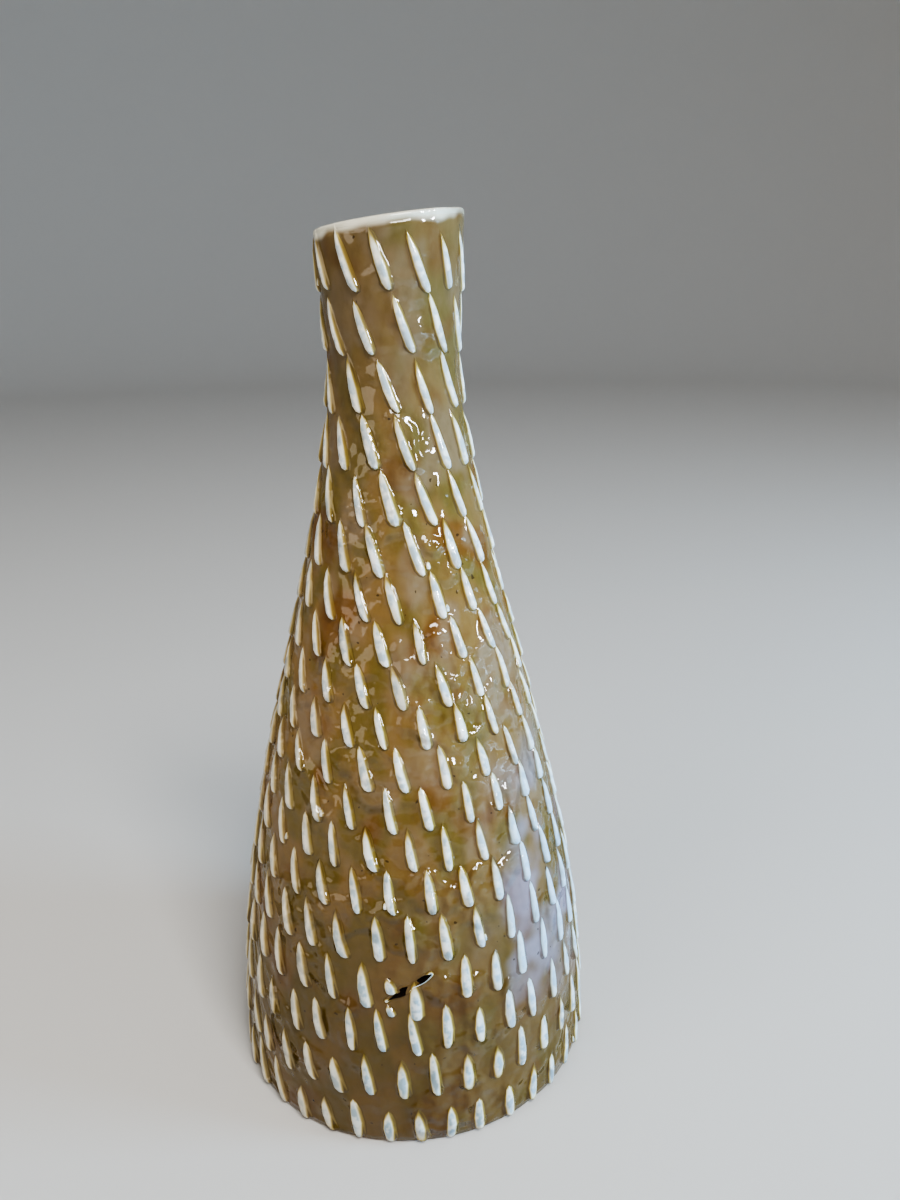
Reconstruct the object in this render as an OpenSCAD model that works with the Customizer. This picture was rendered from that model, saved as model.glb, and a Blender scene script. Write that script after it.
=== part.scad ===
// Bud vase: a hand-made stoneware bottle with a slanted mouth.
// Rows of raised slip strokes are trailed round it, under an amber glaze.
// The base centre is the origin, +Z is up and the front faces -Y.

/* [Overall] */
// Height of the mouth, measured on the centre line
height = 180; // [120:1:260]
// Radius of the glazed outside at the foot
foot_r = 39.4; // [30:0.2:60]
// Radius of the glazed outside at the narrowest place of the neck
neck_r = 12.8; // [11:0.2:18]
// Radius of the glazed outside at the lip
lip_r = 14.2; // [11.5:0.1:22]
// How far the narrowest place of the neck lies below the mouth
neck_drop = 27; // [15:1:45]
// Fullness of the shoulder: under 1 swells it, over 1 hollows it
fullness = 0.72; // [0.55:0.01:1.3]
// How sharply the lip turns outwards
lip_bend = 1.4; // [1:0.1:3]
// Slant of the mouth, rising towards +X, in degrees
mouth_slant = 7; // [0:0.2:14]

/* [Wall] */
// Thickness of the fired clay wall
clay_wall = 3.2; // [2:0.1:5]
// Thickness of the clay floor at its middle
clay_floor = 5; // [3:0.5:9]
// Radius where the wall meets the floor inside
floor_round = 7; // [2:0.5:12]
// Width of the flat ring that the vase stands on
foot_land = 9; // [5:0.5:14]
// Depth of the hollow turned under the floor
foot_hollow = 1.2; // [0.5:0.1:2]
// Rounding of the bare outer edge of the foot
foot_edge = 0.8; // [0.4:0.1:1.5]

/* [Glaze] */
// Thickness of the amber glaze outside
coat = 0.5; // [0.3:0.1:1]
// Thickness of the clear glaze inside
liner = 0.4; // [0.2:0.1:0.8]
// Height of the pale band where the glaze thins over the lip
lip_band = 1.2; // [0.6:0.1:2.5]

/* [Slip strokes] */
// Number of rows
rows = 19; // [12:1:26]
// How far the ends of the top row lie below the mouth
top_row_drop = 12.8; // [11.5:0.1:20]
// Height of the ends of the lowest row
low_row = 0.9; // [0.9:0.1:6]
// How much closer together the middle rows are
row_crowding = 0.18; // [0:0.01:0.3]
// Distance between the strokes of a row on the neck
neck_spacing = 6.7; // [5:0.1:10]
// Distance between the strokes of a row half way down
middle_spacing = 7.8; // [6:0.1:12]
// Distance between the strokes of a row at the foot
foot_spacing = 6.6; // [6:0.1:12]
// Length of a stroke
stroke_l = 9; // [5:0.1:10]
// Greatest width of a stroke
stroke_w = 2.4; // [1.4:0.1:3.6]
// How far a stroke stands out of the glaze
stroke_h = 0.8; // [0.4:0.1:1.4]
// Lean of the strokes on the neck, tops to the left, in degrees
neck_lean = 17; // [0:0.5:25]
// Lean of the strokes at the foot, in degrees
foot_lean = 3.5; // [0:0.5:25]
// How much more the lowest strokes lean at the viewer's left than at the front
lean_swing = 12; // [0:1:14]
// Sideways wander of a stroke from its even place
wander = 0.5; // [0:0.1:0.8]
// Least gap between a stroke's tip and the row or the lip above it
row_clear = 0.2; // [0.1:0.1:1]
// How far a stroke sinks into the glaze that holds it
seat = 0.03; // [0.01:0.01:0.1]

/* [Tear] */
// Height of the middle of the tear in the front wall
tear_z = 37; // [25:1:60]
// Place of the tear round the vase, in degrees from the front
tear_turn = -2; // [-45:1:45]
// Length of the tear
tear_l = 10.5; // [5:0.5:16]
// Greatest width of the tear
tear_w = 1.7; // [0.8:0.1:3]
// Depth of the tear below the glaze
tear_d = 2; // [1:0.1:2.2]
// Slope of the tear, rising to the viewer's right, in degrees
tear_tilt = 31; // [0:1:60]

/* [Hidden] */
$fn = 96;
neck_z = height - neck_drop;
wall_steps = 36;
slope_step = 0.5;
slant_rise = (lip_r + 1) * tan(mouth_slant);
top_z = height + slant_rise + 1;
clay_in = coat + clay_wall;
glaze_in = clay_in + liner;
floor_z = foot_hollow + clay_floor;
row_span = height - top_row_drop - low_row;
mark_cuts = [0.04, 0.2, 0.45, 0.7, 0.9];
tear_steps = 10;
tear_margin = 0.3;

function row_name(i) = str("slip_row_", i < 9 ? "0" : "", i + 1);

// Radius of the glazed outside at a height.
function belly_share(z) = pow((1 + cos(180 * z / neck_z)) / 2, fullness);
function lip_share(z) = pow((z - neck_z) / (height - neck_z), lip_bend);
function skin_r(z) =
    z < neck_z
        ? neck_r + (foot_r - neck_r) * belly_share(max(z, 0))
        : neck_r + (lip_r - neck_r) * lip_share(z);

// Angle by which the outside leans back from upright at a height.
function lean_back(z) = atan((skin_r(z) - skin_r(z + slope_step)) / slope_step);

// Even heights from one level to another.
function levels(from, to) =
    [for (i = [0:wall_steps]) from + (to - from) * i / wall_steps];

// Outline points that lie a depth under the glazed outside.
function wall_line(from, to, depth) =
    [for (z = levels(from, to)) [skin_r(z) - depth, z]];

function reversed(list) = [for (i = [len(list) - 1:-1:0]) list[i]];

// Outline of the hollow, from the middle of its floor up to the top.
function hollow_line(bottom, depth, bend) =
    let (corner_r = skin_r(bottom + bend) - depth)
    concat(
        [[0, bottom]],
        [for (a = [0:15:75])
            [corner_r - bend + bend * sin(a), bottom + bend - bend * cos(a)]],
        wall_line(bottom + bend, top_z, depth)
    );

// Solid that fills the hollow of the clay, or of the glaze inside it.
module hollow(bottom, depth, bend) {
    rotate_extrude()
        polygon(concat(hollow_line(bottom, depth, bend), [[0, top_z]]));
}

// Everything above the slanted mouth, lowered by a drop.
module above_mouth(drop = 0) {
    reach = 3 * max(foot_r, lip_r);
    translate([0, 0, height - drop])
        rotate([0, -mouth_slant, 0])
            translate([-reach, -reach, 0])
                cube([2 * reach, 2 * reach, reach]);
}

// Half of the tear's width along its length: two bulges and a pinch.
function tear_half(u) =
    let (bulge = u < 0.55
        ? sin(180 * pow(u / 0.55, 1.8))
        : 0.62 * sin(180 * pow((u - 0.5) / 0.5, 1.4)))
    tear_w / 2 * max(bulge, 0.16 * sin(180 * u));

// Sideways sweep of the tear's centre line.
function tear_sweep(u) = -tear_w * 0.08 * sin(360 * u);

function tear_edge(side) =
    [for (i = [1:tear_steps - 1])
        let (u = i / tear_steps)
        [(u - 0.5) * tear_l, tear_sweep(u) + side * tear_half(u)]];

// The split where a stroke tore the wet wall open.
module tear() {
    reach = tear_d + 3;
    rotate([0, 0, tear_turn])
        translate([0, tear_d - skin_r(tear_z), tear_z])
            rotate([90, 0, 0])
                linear_extrude(reach)
                    rotate(tear_tilt)
                        polygon(concat(
                            [[-tear_l / 2, 0]],
                            tear_edge(-1),
                            [[tear_l / 2, 0]],
                            reversed(tear_edge(1))
                        ));
}

// Thrown stoneware bottle: wall, floor and turned foot in one piece.
module clay_body() {
    color("peru")
        difference() {
            rotate_extrude()
                polygon(concat(
                    [[0, 0], [skin_r(0) - coat - foot_edge, 0]],
                    wall_line(foot_edge, top_z, coat),
                    [[0, top_z]]
                ));
            hollow(floor_z, clay_in, floor_round);
            translate([0, 0, -1])
                cylinder(h = foot_hollow + 1, r = foot_r - coat - foot_land);
            above_mouth(lip_band);
            tear();
        }
}

// Amber glaze that covers the outside down to the bare edge of the foot.
module glaze_coat() {
    color("darkgoldenrod")
        difference() {
            rotate_extrude()
                polygon(concat(
                    wall_line(foot_edge, top_z, 0),
                    reversed(wall_line(foot_edge, top_z, coat))
                ));
            above_mouth(lip_band);
            tear();
        }
}

// Clear glaze that makes the inside watertight.
module inner_glaze() {
    color("tan")
        difference() {
            hollow(floor_z, clay_in, floor_round);
            hollow(floor_z + liner, glaze_in, floor_round - liner);
            above_mouth(lip_band);
        }
}

// Pale rim over the edge of the wall, where the glaze runs thin.
module lip_glaze() {
    base_z = height - slant_rise - lip_band - 1;
    color("antiquewhite")
        difference() {
            rotate_extrude()
                polygon(concat(
                    wall_line(base_z, top_z, 0),
                    reversed(wall_line(base_z, top_z, glaze_in))
                ));
            above_mouth();
            difference() {
                cylinder(h = top_z + 1, r = 2 * lip_r);
                above_mouth(lip_band);
            }
        }
}

// Point beside a stroke's centre line: up the wall, across it and out from it.
function stroke_point(z0, turn, lean, up, across, out) =
    let (
        z = z0 + up,
        back = lean_back(z),
        angle = turn + (across - up * tan(lean)) / skin_r(z) * 180 / PI,
        r = skin_r(z) + out * cos(back)
    )
    [r * cos(angle), r * sin(angle), z + out * sin(back)];

// Teardrop shape of a stroke: blunt below, drawn out to a point above.
function drop_share(u) = sin(180 * pow(u, 0.6));

function stroke_ring(z0, turn, lean, size, u) =
    let (
        up = u * size[0],
        half = size[1] / 2 * drop_share(u),
        out = size[2] * sqrt(drop_share(u))
    )
    [
        stroke_point(z0, turn, lean, up, -half, -seat),
        stroke_point(z0, turn, lean, up, 0, out),
        stroke_point(z0, turn, lean, up, half, -seat),
        stroke_point(z0, turn, lean, up, 0, -seat)
    ];

// One raised stroke of slip; size holds its length, width and height.
module slip_stroke(z0, turn, lean, size) {
    last = len(mark_cuts) - 1;
    rings = [for (u = mark_cuts) each stroke_ring(z0, turn, lean, size, u)];
    bottom = stroke_point(z0, turn, lean, 0, 0, -seat);
    tip = stroke_point(z0, turn, lean, size[0], 0, -seat);
    below = len(rings);
    above = below + 1;
    polyhedron(
        points = concat(rings, [bottom, tip]),
        faces = concat(
            [for (j = [0:3]) [below, (j + 1) % 4, j]],
            [for (k = [0:last - 1], j = [0:3])
                [4 * k + j, 4 * k + (j + 1) % 4, 4 * k + 4 + (j + 1) % 4]],
            [for (k = [0:last - 1], j = [0:3])
                [4 * k + j, 4 * k + 4 + (j + 1) % 4, 4 * k + 4 + j]],
            [for (j = [0:3]) [above, 4 * last + j, 4 * last + (j + 1) % 4]]
        )
    );
}

// Height at which the strokes of a row end, counted from the top row.
function row_share(i) = i / (rows - 1);
function row_z(i) =
    let (u = row_share(i), crowd = row_crowding * sin(360 * u) / (2 * PI))
    height - top_row_drop - row_span * (u + crowd);

// Height that the tips of a row stay under: the lip, or the row above.
function tip_limit(i) =
    (i == 0 ? height - slant_rise - lip_band : row_z(i - 1) - wander) - row_clear;

// Strokes of a row, and whether one would lie in the tear.
function row_spacing(i) =
    let (u = row_share(i), even = neck_spacing + (foot_spacing - neck_spacing) * u)
    even + (middle_spacing - (neck_spacing + foot_spacing) / 2) * pow(sin(180 * u), 2);
function row_count(i) = round(2 * PI * skin_r(row_z(i)) / row_spacing(i));
function front_gap(turn, z) =
    let (a = (turn + 90 - tear_turn + 540) % 360 - 180)
    abs(a) * PI / 180 * skin_r(z);
function is_torn(turn, z) =
    front_gap(turn, z) < tear_l / 2 * cos(tear_tilt) + stroke_w / 2 + tear_margin
    && z < tear_z + tear_l / 2 * sin(tear_tilt) + tear_w / 2 + tear_margin
    && z + stroke_l > tear_z - tear_l / 2 * sin(tear_tilt) - tear_w / 2 - tear_margin;

// One row of strokes, trailed round the wall by hand.
module slip_row(i) {
    count = row_count(i);
    shift = rands(-1, 1, count, 40 + i);
    stretch = rands(0.88, 1.04, count, 80 + i);
    tilt = rands(-3, 3, count, 120 + i);
    lean = neck_lean + (foot_lean - neck_lean) * row_share(i);
    // Each row is set half a space on from the row above it.
    start = -90 + (i % 2) * 180 / count;
    color("cornsilk")
        for (k = [0:count - 1]) {
            z0 = row_z(i) + (i == rows - 1 ? 0 : wander * shift[k]);
            turn = start + 360 * k / count
                + wander * shift[(k + 3) % count] / skin_r(z0) * 180 / PI;
            long = min(stroke_l * stretch[k], tip_limit(i) - z0);
            own_lean = lean + tilt[k] - lean_swing * row_share(i) * cos(turn);
            if (!is_torn(turn, z0))
                slip_stroke(z0, turn, own_lean, [long, stroke_w, stroke_h]);
        }
}

clay_body();
glaze_coat();
inner_glaze();
lip_glaze();
for (i = [0:rows - 1])
    slip_row(i);
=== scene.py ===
import bmesh
import bpy
import math
import random
from mathutils import Matrix, Vector


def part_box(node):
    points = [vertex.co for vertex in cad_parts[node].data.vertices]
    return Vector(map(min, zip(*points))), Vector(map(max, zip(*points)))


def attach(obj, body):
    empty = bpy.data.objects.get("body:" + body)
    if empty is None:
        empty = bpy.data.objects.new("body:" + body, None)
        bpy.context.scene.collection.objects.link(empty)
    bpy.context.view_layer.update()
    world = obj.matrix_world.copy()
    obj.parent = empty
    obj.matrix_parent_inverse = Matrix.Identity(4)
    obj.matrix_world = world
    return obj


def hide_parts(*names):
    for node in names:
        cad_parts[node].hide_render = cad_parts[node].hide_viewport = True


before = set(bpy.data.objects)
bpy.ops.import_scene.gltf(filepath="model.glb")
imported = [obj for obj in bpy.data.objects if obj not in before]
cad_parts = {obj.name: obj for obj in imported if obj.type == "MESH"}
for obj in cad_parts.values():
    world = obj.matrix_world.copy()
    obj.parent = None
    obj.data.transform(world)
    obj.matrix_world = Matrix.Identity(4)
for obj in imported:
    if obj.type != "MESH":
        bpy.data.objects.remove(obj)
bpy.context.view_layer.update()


# Camera
# The eye is about one vase height away, level with the neck, and looks down a
# little; the vase stands left of the middle and the whole view rolls slightly.
eye = Vector((0, -0.1870, 0.1676))
look_down = math.radians(18.485)
look_right = math.radians(3.134)
roll = math.radians(-1.031)

ahead_level = Vector((math.sin(look_right), math.cos(look_right), 0))
ahead = ahead_level * math.cos(look_down) - Vector((0, 0, math.sin(look_down)))
level = Vector((math.cos(look_right), -math.sin(look_right), 0))
above = level.cross(ahead)
across = level * math.cos(roll) + above * math.sin(roll)
upward = above * math.cos(roll) - level * math.sin(roll)

bpy.ops.object.camera_add()
camera = bpy.context.object
camera.name = "camera"
camera.data.lens = 28.0
camera.data.sensor_width = 36.0
camera.data.clip_start = 0.01
turned = Matrix((across, upward, -ahead)).transposed().to_4x4()
camera.matrix_world = Matrix.Translation(eye) @ turned
bpy.context.scene.camera = camera


# Floor and light
# A pale round sweep, flat under the vase and curving up into a wall all round,
# lit by a tall cool window and a low bluish fill on the right, a warm fill on the
# left and a top light.
floor_reach = 1.6
sweep_bend = 0.8
sweep_steps = 12
wall_height = 1.6

bpy.ops.object.select_all(action="DESELECT")
bpy.ops.mesh.primitive_circle_add(vertices=96, radius=floor_reach, fill_type="NGON")
sweep = bpy.context.object
sweep.name = "sweep"
bpy.ops.object.mode_set(mode="EDIT")
bpy.ops.mesh.select_all(action="SELECT")
bpy.ops.mesh.select_mode(type="EDGE")
bpy.ops.mesh.region_to_loop()
radius = floor_reach
for step in range(sweep_steps):
    turn_now = math.pi / 2 * (step + 1) / sweep_steps
    turn_last = math.pi / 2 * step / sweep_steps
    out = floor_reach + sweep_bend * math.sin(turn_now)
    rise = sweep_bend * (math.cos(turn_last) - math.cos(turn_now))
    bpy.ops.mesh.extrude_region_move(TRANSFORM_OT_translate={"value": (0, 0, rise)})
    bpy.ops.transform.resize(value=(out / radius, out / radius, 1))
    radius = out
bpy.ops.mesh.extrude_region_move(TRANSFORM_OT_translate={"value": (0, 0, wall_height)})
bpy.ops.mesh.select_all(action="SELECT")
bpy.ops.mesh.normals_make_consistent(inside=True)
bpy.ops.object.mode_set(mode="OBJECT")
bpy.ops.object.shade_smooth()
paper = bpy.data.materials.new("pale_paper")
paper.use_nodes = True
paper_shader = paper.node_tree.nodes["Principled BSDF"]
paper_shader.inputs["Base Color"].default_value = (0.62, 0.61, 0.59, 1)
paper_shader.inputs["Roughness"].default_value = 0.9
paper_shader.inputs["Specular IOR Level"].default_value = 0.15
sweep.data.materials.append(paper)

# Each light: name, place, what it points at, width, height, power and colour.
lights = [
    ("window", (0.60, -0.40, 0.46), (0, 0, 0.11), 0.09, 0.34, 6.5, (0.88, 0.90, 1.0)),
    ("right_low", (0.72, -0.16, 0.12), (0, 0, 0.05), 0.24, 0.24, 6.5, (0.42, 0.70, 1.0)),
    ("left_fill", (-0.70, -0.55, 0.45), (0, 0, 0.09), 0.60, 0.60, 1.8, (1.0, 0.90, 0.78)),
    ("front_top", (0.25, -0.60, 0.90), (0, 0, 0.08), 0.40, 0.30, 6.5, (1.0, 0.98, 0.95)),
]
for name, place, aim, width, tall, power, tint in lights:
    bpy.ops.object.light_add(type="AREA", location=place)
    lamp = bpy.context.object
    lamp.name = name
    lamp.data.shape = "RECTANGLE"
    lamp.data.size = width
    lamp.data.size_y = tall
    lamp.data.energy = power
    lamp.data.color = tint
    facing = Vector(aim) - Vector(place)
    lamp.rotation_mode = "QUATERNION"
    lamp.rotation_quaternion = facing.to_track_quat("-Z", "Y")
    # The window is what the gloss mirrors, and the light under it only fills.
    lamp.visible_glossy = name != "right_low"
    lamp.visible_diffuse = name != "window"

studio = bpy.data.worlds.new("studio")
studio.use_nodes = True
soft_light = studio.node_tree.nodes["Background"]
soft_light.inputs["Color"].default_value = (0.95, 0.97, 1.0, 1)
soft_light.inputs["Strength"].default_value = 0.26
bpy.context.scene.world = studio
bpy.context.scene.view_settings.look = "AgX - High Contrast"
bpy.context.scene.view_settings.exposure = 0.45


# Clay body
# The thrown stoneware bottle. Its wall is hidden under the glaze, and only the
# bare foot that the potter turned is seen. The CAD solid has the right shape.
class Wire:
    """A value in a material. Arithmetic on it adds Math nodes."""

    def __init__(self, tree, socket):
        self.tree = tree
        self.socket = socket

    def node(self, kind, settings, inputs, output=0):
        """Any other node: its type, its settings, then its sockets' values."""
        made = self.tree.nodes.new(kind)
        for setting, value in settings.items():
            if setting == "stops":
                ramp = made.color_ramp
                while len(ramp.elements) < len(value):
                    ramp.elements.new(1.0)
                for element, (place, colour) in zip(ramp.elements, value):
                    element.position = place
                    element.color = (*colour, 1)
            else:
                setattr(made, setting, value)
        for socket, value in inputs.items():
            if isinstance(value, Wire):
                self.tree.links.new(value.socket, made.inputs[socket])
            else:
                made.inputs[socket].default_value = value
        return Wire(self.tree, made.outputs[output])

    def math(self, operation, first, second):
        return self.node("ShaderNodeMath", {"operation": operation}, {0: first, 1: second})

    def __add__(self, other):
        return self.math("ADD", self, other)

    __radd__ = __add__

    def __sub__(self, other):
        return self.math("SUBTRACT", self, other)

    def __rsub__(self, other):
        return self.math("SUBTRACT", other, self)

    def __mul__(self, other):
        return self.math("MULTIPLY", self, other)

    __rmul__ = __mul__

    def step(self, low, high):
        """0 below low and 1 above high, with a smooth change between."""
        return self.node(
            "ShaderNodeMapRange",
            {"interpolation_type": "SMOOTHSTEP"},
            {"Value": self, "From Min": low, "From Max": high},
        )

    def noise(self, scale, detail=2.0, rough=0.5):
        """Cloudy noise laid out by this place, scale in clouds a metre."""
        return self.node(
            "ShaderNodeTexNoise",
            {},
            {"Vector": self, "Scale": scale, "Detail": detail, "Roughness": rough},
        )

    def stretched(self, size):
        return self.node("ShaderNodeMapping", {}, {"Vector": self, "Scale": size})

    def between(self, first, second):
        """The colour first where this is 0, and second where it is 1."""
        colours = [c if isinstance(c, Wire) else (*c, 1) for c in (first, second)]
        return self.node(
            "ShaderNodeMix",
            {"data_type": "RGBA"},
            {0: self, 6: colours[0], 7: colours[1]},
            output=2,
        )

    def bump(self, height, strength):
        return self.node(
            "ShaderNodeBump", {}, {"Height": self, "Distance": height, "Strength": strength}
        )

    def into(self, shader, socket):
        self.tree.links.new(self.socket, shader.inputs[socket])


def new_material(name):
    """A material, its main shader, and the place on the piece."""
    made = bpy.data.materials.new(name)
    made.use_nodes = True
    shader = made.node_tree.nodes["Principled BSDF"]
    coordinates = made.node_tree.nodes.new("ShaderNodeTexCoord")
    return made, shader, Wire(made.node_tree, coordinates.outputs["Object"])


bare_clay, shader, place = new_material("bare_stoneware")
grit = place.noise(2600, 3.0, 0.7)
stain = place.noise(70, 3.0)
clay_colour = stain.step(0.3, 0.7).between((0.42, 0.29, 0.19), (0.30, 0.19, 0.12))
clay_colour = grit.step(0.62, 0.72).between(clay_colour, (0.13, 0.08, 0.05))
clay_colour.into(shader, "Base Color")
(0.62 + 0.25 * grit).into(shader, "Roughness")
grit.bump(0.0002, 0.6).into(shader, "Normal")
clay_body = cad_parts["clay_body"]
clay_body.data.materials.clear()
clay_body.data.materials.append(bare_clay)


# Amber coat
# The glaze over the outside, from just above the foot to just under the lip. It
# ran and pooled in the kiln, so its colour drifts from honey to olive and brown.
coat_low, coat_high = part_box("glaze_coat")
foot_r = (coat_high.x - coat_low.x) / 2
lip_r = 0.0142
neck_r = 0.0128
mouth_z = 0.1800
neck_z = 0.1530
fullness = 0.72
lip_bend = 1.4
mouth_slope = math.tan(math.radians(7))
slant_reach = 0.030
coat_thick = 0.0005
wall_thick = 0.0041
lip_band = 0.0012
bare_edge = coat_low.z
ring_sides = 160
ring_gap = 0.0012
bend_depth = 0.00014
dent_depth = 0.00006


def wall_radius(z):
    """Radius of the glazed outside at a height."""
    if z < neck_z:
        share = ((1 + math.cos(math.pi * max(z, 0) / neck_z)) / 2) ** fullness
        return neck_r + (foot_r - neck_r) * share
    return neck_r + (lip_r - neck_r) * ((z - neck_z) / (mouth_z - neck_z)) ** lip_bend


def hand_waver(z, angle):
    """How far the hand-made wall strays from round: slow bends and small dents."""
    slow = math.sin(2 * angle + 31 * z + 0.6) + 0.7 * math.sin(3 * angle - 47 * z + 2.0)
    across = wall_radius(z) * (math.cos(angle) - math.pi / 2)
    dents = math.sin(620 * across + 300 * z) * math.sin(710 * z + 9 * math.sin(2 * angle))
    return bend_depth * slow + dent_depth * dents


def slanted(z, x):
    """Height of a wall point once the rings near the mouth are tipped."""
    share = min(max((z - mouth_z + slant_reach) / slant_reach, 0), 1)
    share = share * share * (3 - 2 * share)
    return z + x * mouth_slope * share


def wall_point(z, angle, out):
    """Point a distance out from the glazed wall, at a height and an angle."""
    r = wall_radius(z) + hand_waver(z, angle)
    lean = (wall_radius(z - 0.0005) - wall_radius(z + 0.0005)) / 0.001
    back = math.atan(lean)
    r += out * math.cos(back)
    return Vector((r * math.cos(angle), r * math.sin(angle), z + out * math.sin(back)))


def edit(piece):
    """Opens a piece alone in edit mode."""
    if bpy.context.mode != "OBJECT":
        bpy.ops.object.mode_set(mode="OBJECT")
    bpy.ops.object.select_all(action="DESELECT")
    piece.select_set(True)
    bpy.context.view_layer.objects.active = piece
    bpy.ops.object.mode_set(mode="EDIT")


def done(piece, angle=50):
    """Leaves edit mode, with the piece shaded smooth except at its edges."""
    bpy.ops.object.mode_set(mode="OBJECT")
    bpy.ops.object.select_all(action="DESELECT")
    piece.select_set(True)
    bpy.context.view_layer.objects.active = piece
    bpy.ops.object.shade_smooth_by_angle(angle=math.radians(angle))


def pull_up(outline):
    """Draws a ring up through an outline of (radius, height) pairs."""
    (radius, z), *others = outline
    bpy.ops.object.select_all(action="DESELECT")
    bpy.ops.mesh.primitive_circle_add(
        vertices=ring_sides, radius=radius, location=(0, 0, z)
    )
    made = bpy.context.object
    bpy.ops.object.transform_apply(location=True, rotation=False, scale=False)
    bpy.ops.object.mode_set(mode="EDIT")
    bpy.ops.mesh.select_all(action="SELECT")
    for next_radius, next_z in others:
        bpy.ops.mesh.extrude_region_move(
            TRANSFORM_OT_translate={"value": (0, 0, next_z - z)}
        )
        grow = next_radius / radius
        bpy.ops.transform.resize(
            value=(grow, grow, 1), center_override=(0, 0, next_z)
        )
        radius, z = next_radius, next_z
    return made


def settle(piece):
    """Tips the rings near the mouth and gives the wall its hand-made waver."""
    for vertex in piece.data.vertices:
        x, y, z = vertex.co
        angle = math.atan2(y, x)
        inward = wall_radius(z) - math.hypot(x, y)
        z = slanted(z, x)
        r = wall_radius(z) + hand_waver(z, angle) - inward
        vertex.co = (r * math.cos(angle), r * math.sin(angle), z)


def thicken(piece, thickness):
    """Gives a sheet its thickness, on its inner side."""
    bpy.ops.object.modifier_add(type="SOLIDIFY")
    piece.modifiers[-1].thickness = thickness
    piece.modifiers[-1].offset = -1
    bpy.ops.object.modifier_apply(modifier=piece.modifiers[-1].name)


coat_top = mouth_z - lip_band
rings = round((coat_top - bare_edge) / ring_gap)
heights = [bare_edge + (coat_top - bare_edge) * i / rings for i in range(rings + 1)]
coat = pull_up([(wall_radius(z), z) for z in heights])
coat.name = "amber_coat"
bpy.ops.mesh.select_all(action="SELECT")
bpy.ops.mesh.normals_make_consistent(inside=False)
done(coat)
settle(coat)
thicken(coat, coat_thick)

honey = (0.216, 0.136, 0.050)
olive = (0.160, 0.114, 0.032)
brown = (0.165, 0.070, 0.017)
tan = (0.235, 0.165, 0.098)
moss = (0.125, 0.100, 0.052)
pool_and_shade = (0.062, 0.035, 0.006)
lilac_sheen = (0.330, 0.330, 0.460)
cool_sheen_blue = (0.400, 0.620, 0.790)
cream = (0.74, 0.72, 0.60)
white = (0.86, 0.88, 0.86)
ash_and_shade = (0.30, 0.40, 0.46)
mustard = (0.42, 0.32, 0.08)
warm_light_straw = (0.52, 0.43, 0.28)


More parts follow.
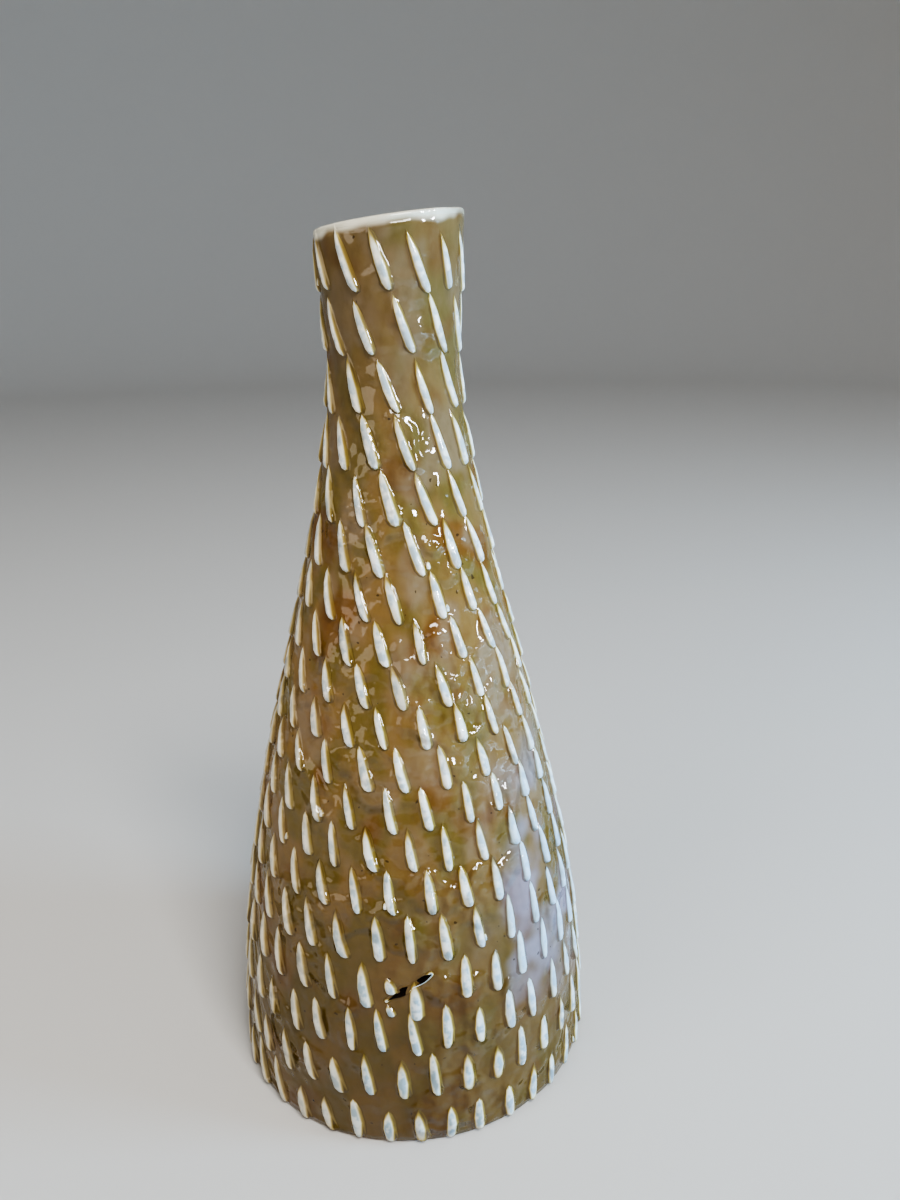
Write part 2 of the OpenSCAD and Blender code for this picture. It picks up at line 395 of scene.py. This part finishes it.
def glaze(name, thin_by=None):
    """Amber glaze; an attribute from 0, thin, to 1 lets the pale slip show."""
    made, shader, place = new_material(name)
    # Clouds of honey, olive and brown, drawn out a little down the wall.
    runs = place.stretched((1, 1, 0.6))
    grain = runs.noise(330, 3.0, 0.6)
    colour = runs.noise(120, 1.5, 0.4).step(0.42, 0.58).between(honey, olive)
    colour = (place.noise(95, 1.5, 0.4).step(0.54, 0.68) * 0.75).between(colour, brown)
    # Distance down from the slanted mouth. The glaze is thin and pale near it, and
    # towards the foot it is darkened as painted shade.
    split = place.node("ShaderNodeSeparateXYZ", {}, {0: place})
    z = Wire(split.tree, split.socket.node.outputs[2])
    down = mouth_z + split * mouth_slope - z
    # Tan clouds: partly the glaze's own colour, partly painted reflection of the pale
    # surroundings, more of it to the right and less towards the foot.
    tan_and_reflection_clouds = runs.noise(140, 1.5, 0.4) + 0.08 * down.step(0.06, 0.01) + 1.3 * split
    tan_and_reflection_share = tan_and_reflection_clouds.step(0.50, 0.66) * (0.80 - 0.60 * down.step(0.080, 0.150))
    colour = tan_and_reflection_share.between(colour, tan)
    colour = (down.step(0.070, 0.015) * 0.45).between(colour, moss)
    # Fine grain, and painted shade darkening the glaze towards the foot.
    colour = (grain.step(0.45, 0.75) * 0.24).between(colour, tan)
    colour = (grain.step(0.50, 0.25) * 0.20).between(colour, pool_and_shade)
    colour = (down.step(0.080, 0.165) * 0.62).between(colour, pool_and_shade)
    # A painted bluish-lilac sheen on the lower right of the front.
    y = Wire(split.tree, split.socket.node.outputs[1])
    sheen_patch = split.step(0.010, 0.026) * y.step(0.002, -0.014)
    sheen_patch = sheen_patch * z.step(0.012, 0.040) * z.step(0.090, 0.062)
    sheen_clouds = sheen_patch * place.noise(85, 1.5).step(0.42, 0.60)
    colour = (sheen_clouds * 0.48).between(colour, lilac_sheen)
    # Iron specks, and a pale uneven edge where the glaze drew back from the lip.
    specks = place.noise(900, 0.0).step(0.82, 0.86)
    colour = (specks * 0.7).between(colour, (0.03, 0.015, 0.006))
    scallop = place.stretched((1, 1, 0.2)).noise(150, 1.0)
    rim = (down - 0.0040 * scallop).step(0.0002, -0.0014)
    rim = rim * (0.92 - 0.45 * split.step(0.008, 0.014))
    rough = 0.03 + 0.06 * grain
    if thin_by:
        # Dark where the glaze pools round a stroke, with painted shadow under the blunt
        # end and up the lower left; pale slip where it is thin. The slip is greyed in
        # clouds and, as painted shade, towards the foot, with a painted bluish sheen low
        # on the right and painted warm light on the left.
        thick = place.node("ShaderNodeAttribute", {"attribute_name": thin_by}, {}, output=2)
        thick = thick + 0.16 * (grain - 0.5)
        pool_and_shadow_line = thick.step(0.60, 0.86) * thick.step(1.02, 0.90)
        colour = (pool_and_shadow_line * 0.45).between(colour, pool_and_shade)
        slip = thick.node(
            "ShaderNodeValToRGB",
            {"stops": [(0.0, white), (0.32, cream), (0.60, mustard)]},
            {0: thick},
        )
        # Slip greyed in clouds here and there, and more towards the foot as painted shade.
        smoke_and_foot_shade = place.noise(500, 2.0).step(0.40, 0.62) + 0.6 * down.step(0.090, 0.175)
        slip = (smoke_and_foot_shade * thick.step(0.50, 0.15) * 0.72).between(slip, ash_and_shade)
        # Painted bluish sheen low on the right, and painted warm light on the left.
        slip = (sheen_patch * 0.75).between(slip, cool_sheen_blue)
        slip = (split.step(-0.006, -0.028) * 0.55).between(slip, warm_light_straw)
        colour = thick.step(0.88, 0.40).between(colour, slip)
    colour = rim.between(colour, cream)
    colour.into(shader, "Base Color")
    rough.into(shader, "Roughness")
    # The gloss ripples, more in some places than in others.
    ripple = place.noise(240, 1.0) + 0.04 * place.noise(900, 1.0)
    gusts = place.noise(75, 1.0).step(0.48, 0.60)
    ripple = ripple * (0.45 + 0.55 * down.step(0.010, 0.050)) * (0.75 + 1.1 * gusts)
    ripple.bump(0.0012, 1.0).into(shader, "Normal")
    shader.inputs["IOR"].default_value = 1.50
    return made


amber_glaze = glaze("amber_glaze")
coat.data.materials.append(amber_glaze)
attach(coat, "root")
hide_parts("glaze_coat")


# Tear
# A split in the front wall, torn when a stroke was pulled off the wet clay. Its
# lower edge stands up in a pale lip, and the bare clay inside is painted almost
# black as the shade in the split.
tear_z = 0.037
tear_turn = math.radians(-92)
tear_long = 0.0105
tear_wide = 0.0017
tear_tilt = math.radians(31)
tear_corners = 36
bare_from = 2.9
# Rings from the glaze over the raised edge into the split: how far outside the
# split, and how far out of the wall where the edge is flat and where it stands
# up. A ring of -1 closes on the middle line. The faces past the fourth ring are
# bare clay, painted almost black as the shade in the split.
tear_rings = [
    (0.00060, -0.00008, -0.00008),
    (0.00034, 0.00001, 0.00016),
    (0.00017, 0.00004, 0.00042),
    (0.00004, 0.00002, 0.00032),
    (-0.00004, -0.00030, -0.00030),
    (-0.00008, -0.00060, -0.00060),
    (-0.00010, -0.00095, -0.00095),
    (-1, -0.00095, -0.00095),
]


def tear_half(u):
    """Half width along the split: a wide bulge, a pinch and a narrow bulge."""
    if u < 0.55:
        bulge = math.sin(math.pi * (u / 0.55) ** 1.8)
    else:
        bulge = 0.62 * math.sin(math.pi * ((u - 0.5) / 0.5) ** 1.4)
    return tear_wide / 2 * max(bulge, 0.16 * math.sin(math.pi * u))


def tear_lift(u, side):
    """How much the edge stands up: most on the lower right, a little elsewhere."""
    right_end = min(max((u - 0.90) / 0.08, 0), 1)
    left_end = min(max((0.10 - u) / 0.08, 0), 1)
    lower_right = min(max((u - 0.46) / 0.08, 0), 1) if side < 0 else 0
    return max(0.12, right_end, 0.8 * left_end, lower_right)


def tear_point(u, side, grow, out):
    """Point on a ring of the tear. Into the wall it goes level, not square to it."""
    along = (u - 0.5) * (tear_long + 2 * max(grow, -0.0003))
    across = side * max(tear_half(u) + grow, 0)
    across -= tear_wide * 0.08 * math.sin(2 * math.pi * u)
    z = tear_z + along * math.sin(tear_tilt) + across * math.cos(tear_tilt)
    run = along * math.cos(tear_tilt) - across * math.sin(tear_tilt)
    point = wall_point(z, tear_turn + run / wall_radius(z), max(out, 0))
    level_out = Vector((math.cos(tear_turn), math.sin(tear_turn), 0))
    return point + level_out * min(out, 0)


def tear_shell(name, rings):
    """A ring of corners drawn up once for each further ring, then laid there."""
    bpy.ops.object.select_all(action="DESELECT")
    bpy.ops.mesh.primitive_circle_add(vertices=tear_corners, radius=1)
    made = bpy.context.object
    made.name = name
    bpy.ops.object.mode_set(mode="EDIT")
    bpy.ops.mesh.select_all(action="SELECT")
    for _ in rings[1:]:
        bpy.ops.mesh.extrude_region_move(TRANSFORM_OT_translate={"value": (0, 0, 1)})
    bpy.ops.object.mode_set(mode="OBJECT")
    # The corners are put in a fixed order, so that the same ones join every time.
    ordered = bmesh.new()
    ordered.from_mesh(made.data)
    ordered.verts.sort(key=lambda v: 10 * round(v.co.z) + math.atan2(v.co.y, v.co.x))
    ordered.to_mesh(made.data)
    ordered.free()
    for face in made.data.polygons:
        face.material_index = 1 if face.center.z > bare_from else 0
    pale = made.data.attributes.new("glaze_share", "FLOAT", "POINT")
    for vertex in made.data.vertices:
        x, y, level = vertex.co
        side = 0 if abs(y) < 0.001 else math.copysign(min(1, abs(y) * 4), y)
        u = (1 + x) / 2
        grow, flat, raised = rings[round(level)]
        lift = tear_lift(u, side)
        pale.data[vertex.index].value = 1.05 - min(1, level / 2) * 1.05 * lift
        vertex.co = tear_point(u, side, grow, flat + (raised - flat) * lift)
    edit(made)
    bpy.ops.mesh.select_all(action="SELECT")
    bpy.ops.mesh.remove_doubles(threshold=0.00004)
    bpy.ops.mesh.normals_make_consistent(inside=False)
    return made


cut_rings = [
    (-1, -0.002, -0.002),
    (0.0001, -0.002, -0.002),
    (0.0001, 0.001, 0.001),
    (-1, 0.001, 0.001),
]
cutter = tear_shell("tear_cutter", cut_rings)
bpy.ops.object.mode_set(mode="OBJECT")
bpy.ops.object.select_all(action="DESELECT")
coat.select_set(True)
bpy.context.view_layer.objects.active = coat
bpy.ops.object.modifier_add(type="BOOLEAN")
coat.modifiers[-1].operation = "DIFFERENCE"
coat.modifiers[-1].object = cutter
coat.modifiers[-1].solver = "EXACT"
bpy.ops.object.modifier_apply(modifier=coat.modifiers[-1].name)
bpy.data.objects.remove(cutter)

slip_glaze = glaze("glazed_slip", "glaze_share")
torn_inside, shader, place = new_material("torn_inside")
crumbs = place.noise(1500, 3.0, 0.7)
# Painted shade: the inside of the split is coloured near black in two dark tones.
tear_painted_shade = crumbs.step(0.4, 0.7).between((0.008, 0.005, 0.004), (0.030, 0.016, 0.009))
tear_painted_shade.into(shader, "Base Color")
shader.inputs["Roughness"].default_value = 0.8
shader.inputs["Specular IOR Level"].default_value = 0.1
tear = tear_shell("torn_wall", tear_rings)
done(tear, 60)
thicken(tear, 0.0001)
tear.data.materials.append(slip_glaze)
tear.data.materials.append(torn_inside)
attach(tear, "root")
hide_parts("glaze_coat")


# Lip
# The rounded rim over the end of the wall. The glaze ran thin here in the kiln
# and shows the pale clay under it.
lip_cut = 9
lip_square = 0.5
half_wall = wall_thick / 2


def lip_outline():
    """Outline from the outside of the wall over the rim to the inside."""
    points = []
    for i in range(2 * lip_cut + 1):
        turn = math.pi * i / (2 * lip_cut)
        side = math.copysign(abs(math.cos(turn)) ** lip_square, math.cos(turn))
        z = mouth_z - lip_band * (1 - math.sin(turn) ** lip_square)
        points.append((wall_radius(z) - half_wall + half_wall * side, z))
    return points


lip = pull_up(lip_outline())
lip.name = "pale_lip"
bpy.ops.mesh.select_all(action="SELECT")
bpy.ops.mesh.select_mode(type="EDGE")
bpy.ops.mesh.region_to_loop()
bpy.ops.mesh.bridge_edge_loops()
bpy.ops.mesh.select_all(action="SELECT")
bpy.ops.mesh.normals_make_consistent(inside=False)
done(lip)
settle(lip)
lip.data.materials.append(amber_glaze)
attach(lip, "root")
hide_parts("lip_glaze")


# Clear lining
# A thin layer of glaze inside. It was poured in and out again before firing, and
# it seals the wall and the floor so that the vase holds water.
lining_thick = 0.0004
floor_z = 0.0066
floor_round = 0.0066
lining_gap = 0.003
corner_steps = 6

rings = round((coat_top - floor_z - floor_round) / lining_gap)
wall_part = [
    coat_top - (coat_top - floor_z - floor_round) * i / rings for i in range(rings + 1)
]
outline = [(wall_radius(z) - wall_thick, z) for z in wall_part]
corner_r = outline[-1][0] - floor_round
for i in range(1, corner_steps + 1):
    turn = math.pi / 2 * i / corner_steps
    outline.append(
        (corner_r + floor_round * math.cos(turn), floor_z + floor_round * (1 - math.sin(turn)))
    )
outline += [(corner_r * share, floor_z) for share in (0.7, 0.4, 0.12)]
lining = pull_up(outline)
lining.name = "clear_lining"
bpy.ops.mesh.select_mode(type="EDGE")
bpy.ops.mesh.edge_face_add()
bpy.ops.mesh.select_all(action="SELECT")
bpy.ops.mesh.normals_make_consistent(inside=True)
done(lining)
settle(lining)
thicken(lining, lining_thick)
lining.data.materials.append(amber_glaze)
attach(lining, "root")
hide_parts("inner_glaze")


# Slip strokes
# Short ropes of pale slip, squeezed on to the wet wall in rows and pulled up to a
# thin end. The glaze is thin on their crests and pools round them, with painted
# shadow along their lower left and under their blunt ends. One stroke is
# modelled, and copies of it are laid at the places that the CAD rows give.
stroke_half = 0.00092
stroke_high = 0.00088
stroke_long = 0.0090
tip_reach = 1.20
thin_end = 0.58
blunt_end = 0.35
outline_shares = (0.03, 0.12, 0.42, 0.70, 0.89)


def stroke_width(share):
    """Half width along the stroke, as a part of the greatest."""
    blunt = math.sqrt(1 - max(0, 1 - share / 0.14) ** 2)
    return blunt * (1 - share ** 5) ** 0.85


def stroke_height(share):
    """Height along the stroke, as a part of the greatest."""
    blunt = math.sqrt(1 - max(0, 1 - share / 0.10) ** 2)
    return max(blunt, 0.35) * (1 - share ** 3)


bpy.ops.object.select_all(action="DESELECT")
bpy.ops.mesh.primitive_circle_add(
    vertices=2 * len(outline_shares) + 2, radius=1, fill_type="NGON"
)
stroke = bpy.context.object
stroke.name = "slip_stroke"
# The ring's corners go to the teardrop outline: up one side and down the other.
corners = [(0, 0)]
corners += [(stroke_width(s), s) for s in outline_shares]
corners += [(0, 1)]
corners += [(-stroke_width(s), s) for s in reversed(outline_shares)]
by_turn = sorted(
    stroke.data.vertices,
    key=lambda v: (math.atan2(v.co.x, -v.co.y) + 1e-4) % (2 * math.pi),
)
for vertex, (x, share) in zip(by_turn, corners):
    vertex.co = (x * stroke_half, share * stroke_long, 0)
# Rings drawn up from the outline: skirt, foot, flank, shoulder and crest, each
# with its spread across and along, its rise, and its glaze on the left and right.
# Left and right differ as painted shade: a dark line at the left foot and more
# amber down the right flank.
stroke_rings = [
    (1.80, 1.08, -0.05, 1.05, 1.05),
    (1.36, 1.03, 0.06, 0.88, 0.76),
    (1.02, 1.00, 0.42, 0.56, 0.64),
    (0.76, 0.98, 0.80, 0.16, 0.38),
    (0.40, 0.95, 0.97, 0.00, 0.08),
    (0.00, 0.88, 1.00, 0.00, 0.00),
]
edit(stroke)
bpy.ops.mesh.select_all(action="SELECT")
middle = (0, stroke_long * 0.45, 0)
spread, along, rise = 1, 1, 0
for count, (next_spread, next_along, next_rise, *_) in enumerate(stroke_rings[:-1]):
    lift = {"value": (0, 0, next_rise - rise)}
    if count == 0:
        bpy.ops.transform.translate(**lift)
    else:
        bpy.ops.mesh.extrude_region_move(TRANSFORM_OT_translate=lift)
    bpy.ops.transform.resize(
        value=(next_spread / spread, next_along / along, 1), center_override=middle
    )
    spread, along, rise = next_spread, next_along, next_rise
# The last ring closes on itself as a ridge.
bpy.ops.mesh.extrude_region_move(TRANSFORM_OT_translate={"value": (0, 0, 1 - rise)})
bpy.ops.transform.resize(
    value=(0, stroke_rings[-1][1] / along, 1), center_override=middle
)
bpy.ops.mesh.remove_doubles(threshold=1e-6)
bpy.ops.mesh.select_all(action="SELECT")
bpy.ops.mesh.normals_make_consistent(inside=False)
done(stroke)
# Heights so far are shares of the greatest. Each ring gets its own height and its
# share of glaze, which grows towards the thin end.
thickness = stroke.data.attributes.new("glaze_share", "FLOAT", "POINT")
for vertex in stroke.data.vertices:
    x, y, rise = vertex.co
    share = min(max(y / stroke_long, 0), 1)
    nearest = min(stroke_rings, key=lambda ring: abs(ring[2] - rise))
    # Right-side values are used only above the blunt end, and the left foot loses its dark
    # above the lower third, so the painted shadow line lies under the blunt end and up the
    # lower left.
    faded = nearest[4] if x > 0 and share > 0.1 else nearest[3]
    if faded > 0.8 and share > 0.3:
        faded = 1.05
    if faded < 0.80:
        faded = min(0.78, faded + 0.74 * max(0, share - thin_end) / (1 - thin_end))
    thickness.data[vertex.index].value = faded
    if rise > 0.06:
        rise = 0.05 + (rise - 0.05) * stroke_height(share)
    vertex.co.z = rise * stroke_high


def stroke_places(node):
    """Lower end and tip of each stroke of a CAD row, in order round the wall."""
    shape = bmesh.new()
    shape.from_mesh(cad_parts[node].data)
    bmesh.ops.remove_doubles(shape, verts=shape.verts, dist=1e-6)
    shape.verts.ensure_lookup_table()
    seen = set()
    places = []
    for start in shape.verts:
        if start.index in seen:
            continue
        seen.add(start.index)
        group = [start]
        for vertex in group:
            for edge in vertex.link_edges:
                other = edge.other_vert(vertex)
                if other.index not in seen:
                    seen.add(other.index)
                    group.append(other)
        lowest = min(group, key=lambda v: v.co.z)
        highest = max(group, key=lambda v: v.co.z)
        places.append((lowest.co.copy(), highest.co.copy()))
    shape.free()
    return sorted(places, key=lambda ends: math.atan2(ends[0].y, ends[0].x))


def lay_stroke(
    low, tip, wide, high, bow=0, flare=0, hook=0, reach=tip_reach, glazed=(0, 0, 0)
):
    """A copy of the stroke, laid on the wall from its lower end to its tip.

    The last value is its extra glaze: all over, in the blunt end and at the tip.
    """
    laid = stroke.copy()
    laid.data = stroke.data.copy()
    bpy.context.collection.objects.link(laid)
    low_angle = math.atan2(low.y, low.x)
    tip_angle = math.atan2(tip.y, tip.x)
    swing = (tip_angle - low_angle + math.pi) % (2 * math.pi) - math.pi
    thickness = laid.data.attributes["glaze_share"].data
    for vertex in laid.data.vertices:
        x, y, out = vertex.co
        share = y / stroke_long
        end = max(0, 1 - max(share, 0) / blunt_end)
        top = min(max(share - thin_end, 0) / (1 - thin_end), 1)
        if out > 0.0001:
            extra = glazed[0] + glazed[1] * end + glazed[2] * top
            thickness[vertex.index].value += extra
        z = max(low.z + share * reach * (tip.z - low.z), bare_edge + 0.0001)
        side = x * wide * (1 + flare * end)
        side += bow * math.sin(math.pi * min(max(share, 0), 1)) + hook * end ** 2
        angle = low_angle + swing * share * reach + side / wall_radius(z)
        vertex.co = wall_point(z, angle, out * high if out > 0 else out)
    return laid


# Pieces of the torn strokes: lower end and tip, each along the wall and up from
# the middle of the tear, then width, flare and reach.
torn_pieces = [
    ((-0.0034, -0.0012), (-0.0041, 0.0018), 1.05, 0, 1.1),
    ((0.0015, -0.0071), (0.0011, 0.0016), 1.30, 0, 1.0),
    ((-0.0034, -0.0060), (-0.0043, -0.0036), 0.80, 0, 1.0),
]
stroke.data.materials.append(slip_glaze)
dice = random.Random(7)
burr_chance = 0.05
rows = sorted(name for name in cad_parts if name.startswith("slip_row"))
for name in rows:
    bpy.ops.object.select_all(action="DESELECT")
    laid = []
    for low, tip in stroke_places(name):
        wide = dice.uniform(0.88, 1.10)
        high = dice.uniform(0.85, 1.15)
        # The strokes bow more on the left of the vase, where they lean more.
        bow = dice.uniform(-0.0002, 0.0002) + 0.0003 * min(0, low.x / foot_r)
        flare = dice.choice((-0.15, -0.05, 0, 0, 0.05, 0.2))
        hook = dice.choice((0, 0, 0.0001, 0.0002, 0.0005, -0.0003))
        hook += 0.0007 * max(0, -low.x / foot_r)
        # Low down they were squeezed out faster, shorter and fatter.
        hurried = dice.random() * max(0, 1 - low.z / 0.060)
        wide *= 1 + 0.30 * hurried
        reach = tip_reach * (1 - 0.30 * hurried)
        # Some carry more glaze all over, some have a pool of it in the blunt end, and
        # on some the tip stays pale.
        glazed = (
            dice.uniform(0, 0.10),
            dice.choice((0, 0, 0, 0, 0.15, 0.30)) + 0.35 * (hurried > 0.35),
            dice.choice((0, -0.2, -0.4, -0.5)),
        )
        laid.append(lay_stroke(low, tip, wide, high, bow, flare, hook, reach, glazed))
        if dice.random() < burr_chance:
            # A burr pulled off the lower end as the trailer left it.
            spur = low.copy()
            spur.z += 0.0012
            side = dice.choice((-1, 1)) * dice.uniform(0.0008, 0.0012)
            spur += Vector((-low.y, low.x, 0)).normalized() * side
            end = spur + Vector((0, 0, 0.0016))
            laid.append(lay_stroke(spur, end, 0.45, 0.6, reach=1))
    if name == "slip_row_16":
        # What the tear left of the strokes it crosses: upper and lower pieces.
        for low_at, tip_at, wide, flare, reach in torn_pieces:
            ends = [
                wall_point(tear_z + up, tear_turn + along / wall_radius(tear_z + up), 0)
                for along, up in (low_at, tip_at)
            ]
            laid.append(lay_stroke(*ends, wide, 0.9, flare=flare, reach=reach))
    for piece in laid:
        piece.select_set(True)
    bpy.context.view_layer.objects.active = laid[0]
    bpy.ops.object.join()
    row = bpy.context.object
    row.name = "strokes_" + name[-2:]
    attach(row, "root")
    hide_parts(name)
bpy.data.objects.remove(stroke)
